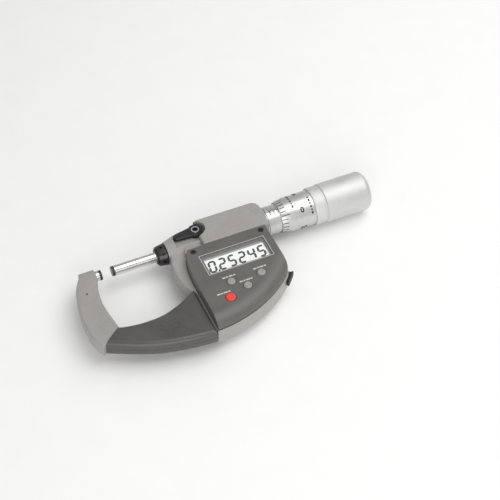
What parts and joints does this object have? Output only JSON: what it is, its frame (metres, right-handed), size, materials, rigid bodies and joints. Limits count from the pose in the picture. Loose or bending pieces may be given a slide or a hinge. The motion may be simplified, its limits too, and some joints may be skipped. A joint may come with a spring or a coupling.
{
  "type": "outside micrometer",
  "caption": "Digital outside micrometer with a C frame, spindle and thimble, ratchet sleeve, lock lever and a sealed display head with push buttons.",
  "frame": {"origin": "centre of the measuring face of the fixed anvil", "axes": "+X along the spindle from the anvil to the thimble, +Z out of the display, -Y towards the arc of the frame; the tool lies on the back of its head"},
  "size_m": [0.1988, 0.0849, 0.0255],
  "materials": {
    "frame_paint": "satin light grey paint on a casting",
    "cover_plastic": "fine matte texture, dark grey",
    "grip_plastic": "fine matte texture, dark grey insulating grip",
    "satin_chrome": "satin chrome with black filled graduations",
    "ratchet_metal": "matte blasted silver",
    "ground_steel": "ground and lapped",
    "plain_steel": "machined",
    "carbide": "lapped carbide",
    "black_lever": "semi-gloss black",
    "brass": "machined",
    "black_rubber": "soft black",
    "button_grey": "matte grey rubberised key",
    "button_red": "matte red key",
    "window": "clear window",
    "display": "reflective liquid crystal display",
    "board": "green circuit board",
    "dark_plastic": "moulded black",
    "flex": "amber flexible film",
    "cell": "plated steel can"
  },
  "bodies": {
    "frame_assembly": {"frame": "frame_paint", "anvil": "ground_steel", "anvil_carbide_tip": "carbide", "front_collar": "plain_steel", "spindle_seal": "black_rubber", "spindle_guide_bush": "brass", "lock_shoe": "brass", "front_grip_pad": "grip_plastic", "rear_grip_pad": "grip_plastic", "front_cover": "cover_plastic", "display_window": "window", "display_panel": "display", "display_holder": "dark_plastic", "circuit_board": "board", "keypad_membrane": "button_grey", "cover_screw_left": "plain_steel", "cover_screw_right": "plain_steel", "cover_gasket": "black_rubber", "battery": "cell", "data_connector": "dark_plastic", "encoder_flex_cable": "flex", "sleeve": "satin_chrome", "threaded_sleeve": "plain_steel", "adjusting_nut": "plain_steel", "encoder_stator": "board", "encoder_carrier": "brass"},
    "lock": {"lock_lever": "black_lever", "lock_screw": "plain_steel"},
    "unit_key": {"unit_button": "button_grey"},
    "zero_key": {"zero_button": "button_grey"},
    "hold_key": {"hold_button": "button_grey"},
    "power_key": {"power_button": "button_red"},
    "battery_cap": {"battery_cover": "dark_plastic", "battery_cover_seal": "black_rubber"},
    "port_plug": {"data_port_plug": "black_rubber"},
    "rotor": {"encoder_rotor": "plain_steel"},
    "spindle_unit": {"spindle": "ground_steel", "spindle_carbide_tip": "carbide", "thimble": "satin_chrome", "thimble_nut": "plain_steel", "ratchet_screw": "plain_steel", "ratchet_disc": "plain_steel", "ratchet_spring": "plain_steel"},
    "ratchet": {"ratchet_sleeve": "ratchet_metal"}
  },
  "joints": [
    {"name": "lock_turn", "type": "hinge", "parent": "frame_assembly", "child": "lock", "pos_m": [0.0621, 0.0035, 0.0075], "axis": [0, 0, 1], "range_deg": [-60, 0]},
    {"name": "battery_cover_turn", "type": "hinge", "parent": "frame_assembly", "child": "battery_cap", "pos_m": [0.072, -0.036, -0.0118], "axis": [0, 0, -1], "range_deg": [0, 90]},
    {"name": "port_plug_pull", "type": "slide", "parent": "frame_assembly", "child": "port_plug", "axis": [0.7371, -0.6758, 0], "range_m": [0, 0.008]},
    {"name": "thimble_turn", "type": "hinge", "parent": "frame_assembly", "child": "rotor", "pos_m": [0.0825, 0, 0], "axis": [1, 0, 0], "range_deg": [-3630, 10775]},
    {"name": "spindle_travel", "type": "slide", "parent": "rotor", "child": "spindle_unit", "axis": [1, 0, 0], "range_m": [-0.0064, 0.019]},
    {"name": "ratchet_turn", "type": "hinge", "parent": "spindle_unit", "child": "ratchet", "pos_m": [0.16, 0, 0], "axis": [1, 0, 0], "continuous": true},
    {"name": "unit_press", "type": "slide", "parent": "frame_assembly", "child": "unit_key", "axis": [0, 0, -1], "range_m": [0, 0.0007], "stiffness_N_per_m": 400, "springref_m": -0.0005},
    {"name": "zero_press", "type": "slide", "parent": "frame_assembly", "child": "zero_key", "axis": [0, 0, -1], "range_m": [0, 0.0007], "stiffness_N_per_m": 400, "springref_m": -0.0005},
    {"name": "hold_press", "type": "slide", "parent": "frame_assembly", "child": "hold_key", "axis": [0, 0, -1], "range_m": [0, 0.0007], "stiffness_N_per_m": 400, "springref_m": -0.0005},
    {"name": "power_press", "type": "slide", "parent": "frame_assembly", "child": "power_key", "axis": [0, 0, -1], "range_m": [0, 0.0007], "stiffness_N_per_m": 400, "springref_m": -0.0005}
  ],
  "couplings": [
    {"joint": "thimble_turn", "follows": "spindle_travel", "rad_per_m": 9894.8}
  ]
}
